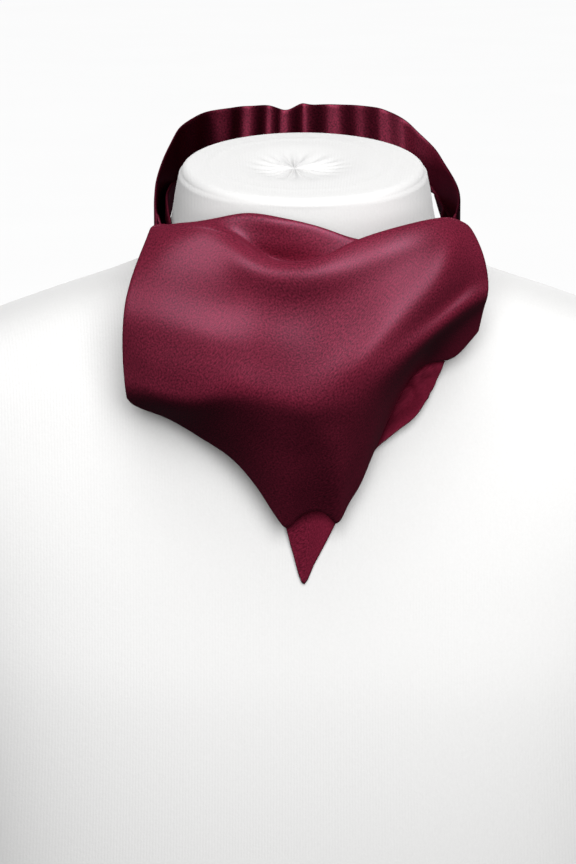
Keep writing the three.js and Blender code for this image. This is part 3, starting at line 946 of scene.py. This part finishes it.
class SilkLooks(bpy.types.PropertyGroup):
    """The satin's colours and gloss."""

    colour: bpy.props.FloatVectorProperty(
        name="Colour", description="The satin's colour in the light", subtype="COLOR", min=0, max=1,
        default=(0.4, 0.03, 0.077))
    shade: bpy.props.FloatVectorProperty(
        name="Shade", description="The colour deep in the weave", subtype="COLOR", min=0, max=1,
        default=(0.11, 0.008, 0.022))
    roughness: bpy.props.FloatProperty(
        name="Roughness", description="How broad the satin's lights are", subtype="FACTOR", min=0.05, max=1,
        default=0.42)
    gloss: bpy.props.FloatProperty(
        name="Gloss", description="Strength of the satin's lights", subtype="FACTOR", min=0, max=1,
        default=0.62)


class CravatSizes(bpy.types.PropertyGroup):
    """Sizes of the cloth that a user would change."""

    blade_thickness: bpy.props.FloatProperty(
        name="Blade thickness", description="Face, interlining and back together", unit="LENGTH",
        min=0.001, max=0.003, default=BLADE_THICKNESS * MM)
    band_thickness: bpy.props.FloatProperty(
        name="Band thickness", description="Thickness of each layer of the neckband", unit="LENGTH",
        min=0.001, max=0.003, default=BAND_THICKNESS * MM)
    edge: bpy.props.FloatProperty(
        name="Rounded edge", description="How far in the folded edges are rounded", unit="LENGTH",
        min=0.0005, max=0.004, default=0.0018)


class FormLooks(bpy.types.PropertyGroup):
    """The display form's cover."""

    colour: bpy.props.FloatVectorProperty(
        name="Jersey", description="The jersey's colour", subtype="COLOR", min=0, max=1,
        default=(0.53, 0.528, 0.525))


class CRAVAT_OT_display_form(bpy.types.Operator):
    """Make the limbless form in its white jersey"""

    bl_idname = "cravat.display_form"
    bl_label = "Display form"

    def execute(self, context):
        form = closed_lathe("display_form_jersey", form_rings(FORM_SIDES))
        form.visible_glossy = False
        form.visible_diffuse = False
        dress(form, "display_form", jersey_material(context.scene.cravat_form.colour))
        return {"FINISHED"}


class CRAVAT_OT_neckband(bpy.types.Operator):
    """Make the two halves of the neckband and their pleated stems"""

    bl_idname = "cravat.neckband"
    bl_label = "Neckband and stems"

    def execute(self, context):
        sizes = context.scene.cravat_sizes
        thickness, edge = sizes.band_thickness / MM, sizes.edge / MM
        for side, table, puckers, mirror in (
            ("right", RIGHT_BAND, RIGHT_PUCKERS, -1),
            ("left", LEFT_BAND, LEFT_PUCKERS, 1),
        ):
            rows = edge_steps(BAND_ROWS, BAND_HEIGHT, edge)
            at = edge_steps(BAND_STATIONS, BAND_LENGTH, edge) * (BAND_END - SEAM_SHARE)
            band = band_sheet(table, puckers, mirror, at, rows, 0)
            band[..., 0] -= mirror * SEAM_DRAW * np.clip(1 - np.abs(band[..., 0]) / SEAM_REACH, 0, 1)
            stem_start = BAND_END + SEAM_SHARE
            stem_at = stem_start + edge_steps(STEM_STATIONS, STEM_LENGTH, edge) * (STEM_END - stem_start)
            stem = band_sheet(table, puckers, mirror, stem_at, rows, STEM_PLEAT)
            if mirror > 0:
                band, stem = band[:, ::-1], stem[:, ::-1]
            for grid, node, held, flat in (
                (band, f"neckband_{side}", "folded", (0.036, 0.15)),
                (stem, f"pleated_stem_{side}", "gathered", (0.036, 0.1)),
            ):
                piece = cloth_shell(f"{node}_silk", grid, thickness, edge)
                dress(piece, node, band_silk_in_painted_shade())
        return {"FINISHED"}


class CRAVAT_OT_blades(bpy.types.Operator):
    """Make the full top blade and the under blade beneath it"""

    bl_idname = "cravat.blades"
    bl_label = "Blades"

    def execute(self, context):
        sizes = context.scene.cravat_sizes
        thickness, edge = sizes.blade_thickness / MM, sizes.edge / MM
        top = cloth_shell("top_blade_silk", top_blade_sheet(*TOP_GRID), thickness, edge)
        dress(top, "top_blade", blade_silk())
        under = cloth_shell("under_blade_silk", under_blade_sheet(*UNDER_GRID), thickness, edge)
        dress(under, "under_blade", blade_silk())
        return {"FINISHED"}


class CRAVAT_OT_studio(bpy.types.Operator):
    """Make the floor, the soft lights and the camera"""

    bl_idname = "cravat.studio"
    bl_label = "Studio"

    def execute(self, context):
        floor_size = 40.0
        bpy.ops.mesh.primitive_plane_add(size=floor_size, location=(0, 12, 0))
        floor = context.object
        floor.name = "studio_floor"
        floor.data.materials.append(plain_material("pale floor", (0.86, 0.86, 0.86), 0.8))
        floor.visible_diffuse = False
        floor.visible_glossy = False
        add_lights(floor)
        add_camera()
        context.scene.view_settings.view_transform = "Standard"
        return {"FINISHED"}


# Each soft lamp: its name, its place and aim in metres, the side of its square, its watts, whether it shows
# in the gloss, and how the names of the pieces that it falls on begin
LIGHTS = (
    ("left softbox", (-1.0, -0.8, 1.95), (0, -0.05, 0.33), 1.0, 16, True, ("neckband", "pleated", "top")),
    ("front softbox", (0.7, -1.05, 2.05), (0, -0.05, 0.33), 1.0, 27, True, ("pleated", "top")),
    ("band softbox", (-1.5, -1.0, 1.1), (0, 0.05, 0.4), 0.5, 20, True, ("neckband",)),
    ("blade fill", (0.1, -1.7, 1.15), (0, -0.08, 0.3), 0.9, 4, False, ("pleated", "top")),
    ("under blade card", (-0.1, -1.5, 0.7), (0, -0.08, 0.26), 0.6, 14, False, ("under",)),
    ("rear fill", (0.2, 2.3, 0.75), (0, 0, 0.25), 1.6, 60, False,
     ("display", "neckband", "pleated", "top", "under")),
    ("form softbox", (0, -0.4, 2.3), (0, 0, 0.4), 1.2, 26, True, ("display",)),
    ("form fill", (0.2, -1.9, 1.2), (0, 0, 0.25), 2.0, 96, True, ("display",)),
)


SURROUND_COLOUR = (0.95, 0.96, 1.0)
SURROUND_STRENGTH = 0.03
FLOOR_SUN_STRENGTH = 3.7
FLOOR_SUN_ANGLE = 0.5


def light_only(lamp, pieces):
    """Lets a lamp fall on these pieces alone."""
    lit = bpy.data.collections.new(f"lit by the {lamp.name}")
    for piece in pieces:
        lit.objects.link(piece)
    lamp.light_linking.receiver_collection = lit


def add_lights(floor):
    """A dim surround, a sun for the floor alone, and soft lamps that each fall on named pieces."""
    scene = bpy.context.scene
    world = scene.world or bpy.data.worlds.new("studio")
    scene.world = world
    world.use_nodes = True
    background = world.node_tree.nodes["Background"]
    background.inputs["Color"].default_value = (*SURROUND_COLOUR, 1)
    background.inputs["Strength"].default_value = SURROUND_STRENGTH
    data = bpy.data.lights.new("floor sun", "SUN")
    data.energy = FLOOR_SUN_STRENGTH
    data.angle = FLOOR_SUN_ANGLE
    sun = bpy.data.objects.new("floor sun", data)
    light_only(sun, [floor])
    scene.collection.objects.link(sun)
    pieces = [piece for piece in scene.objects if piece.type == "MESH"]
    for name, where, aim, size, energy, shines, lit in LIGHTS:
        data = bpy.data.lights.new(name, "AREA")
        data.shape = "SQUARE"
        data.size = size
        data.energy = energy
        lamp = bpy.data.objects.new(name, data)
        lamp.location = where
        lamp.rotation_euler = look_rotation(where, aim)
        lamp.visible_glossy = shines
        light_only(lamp, [piece for piece in pieces if piece.name.startswith(lit)])
        scene.collection.objects.link(lamp)


def look_rotation(where, aim):
    """The turn that points a camera or lamp from one place to another."""
    return (Vector(aim) - Vector(where)).to_track_quat("-Z", "Y").to_euler()


def add_camera():
    """The photograph's view: 1.6 m away, ten degrees down, its axis below the neck."""
    scale = 0.47 * MM
    distance = 1.6
    focal = distance / scale
    pitch = math.radians(10)
    neck_px, centre_px, frame_px = (303, 164), (288, 432), 864
    aside = -(neck_px[0] - centre_px[0]) / focal * distance
    above = (centre_px[1] - neck_px[1]) / focal * distance
    data = bpy.data.cameras.new("photograph view")
    data.sensor_width = 36
    data.lens = focal * data.sensor_width / frame_px
    data.clip_end = 100
    camera = bpy.data.objects.new("photograph view", data)
    camera.location = (
        aside,
        -distance * math.cos(pitch) - above * math.sin(pitch),
        FORM_HEIGHT * MM + distance * math.sin(pitch) - above * math.cos(pitch),
    )
    camera.rotation_euler = (math.pi / 2 - pitch, 0, 0)
    bpy.context.scene.collection.objects.link(camera)
    bpy.context.scene.camera = camera


class CRAVAT_PT_panel(bpy.types.Panel):
    """The cravat's sizes, looks and pieces"""

    bl_label = "Silk cravat"
    bl_space_type = "VIEW_3D"
    bl_region_type = "UI"
    bl_category = "Cravat"

    def draw(self, context):
        scene = context.scene
        for group in (scene.cravat_sizes, scene.cravat_silk, scene.cravat_form):
            for name in group.bl_rna.properties.keys():
                if name not in ("rna_type", "name"):
                    self.layout.prop(group, name)
        for maker in MAKERS:
            self.layout.operator(maker.bl_idname)


MAKERS = (CRAVAT_OT_display_form, CRAVAT_OT_neckband, CRAVAT_OT_blades, CRAVAT_OT_studio)
CLASSES = (SilkLooks, CravatSizes, FormLooks, *MAKERS, CRAVAT_PT_panel)


def register():
    for item in CLASSES:
        bpy.utils.register_class(item)
    bpy.types.Scene.cravat_silk = bpy.props.PointerProperty(type=SilkLooks)
    bpy.types.Scene.cravat_sizes = bpy.props.PointerProperty(type=CravatSizes)
    bpy.types.Scene.cravat_form = bpy.props.PointerProperty(type=FormLooks)


def unregister():
    for name in ("cravat_silk", "cravat_sizes", "cravat_form"):
        delattr(bpy.types.Scene, name)
    for item in reversed(CLASSES):
        bpy.utils.unregister_class(item)


def main():
    register()
    bpy.ops.cravat.display_form()
    bpy.ops.cravat.neckband()
    bpy.ops.cravat.blades()
    bpy.ops.cravat.studio()
    bpy.context.view_layer.update()


if __name__ == "__main__":
    main()
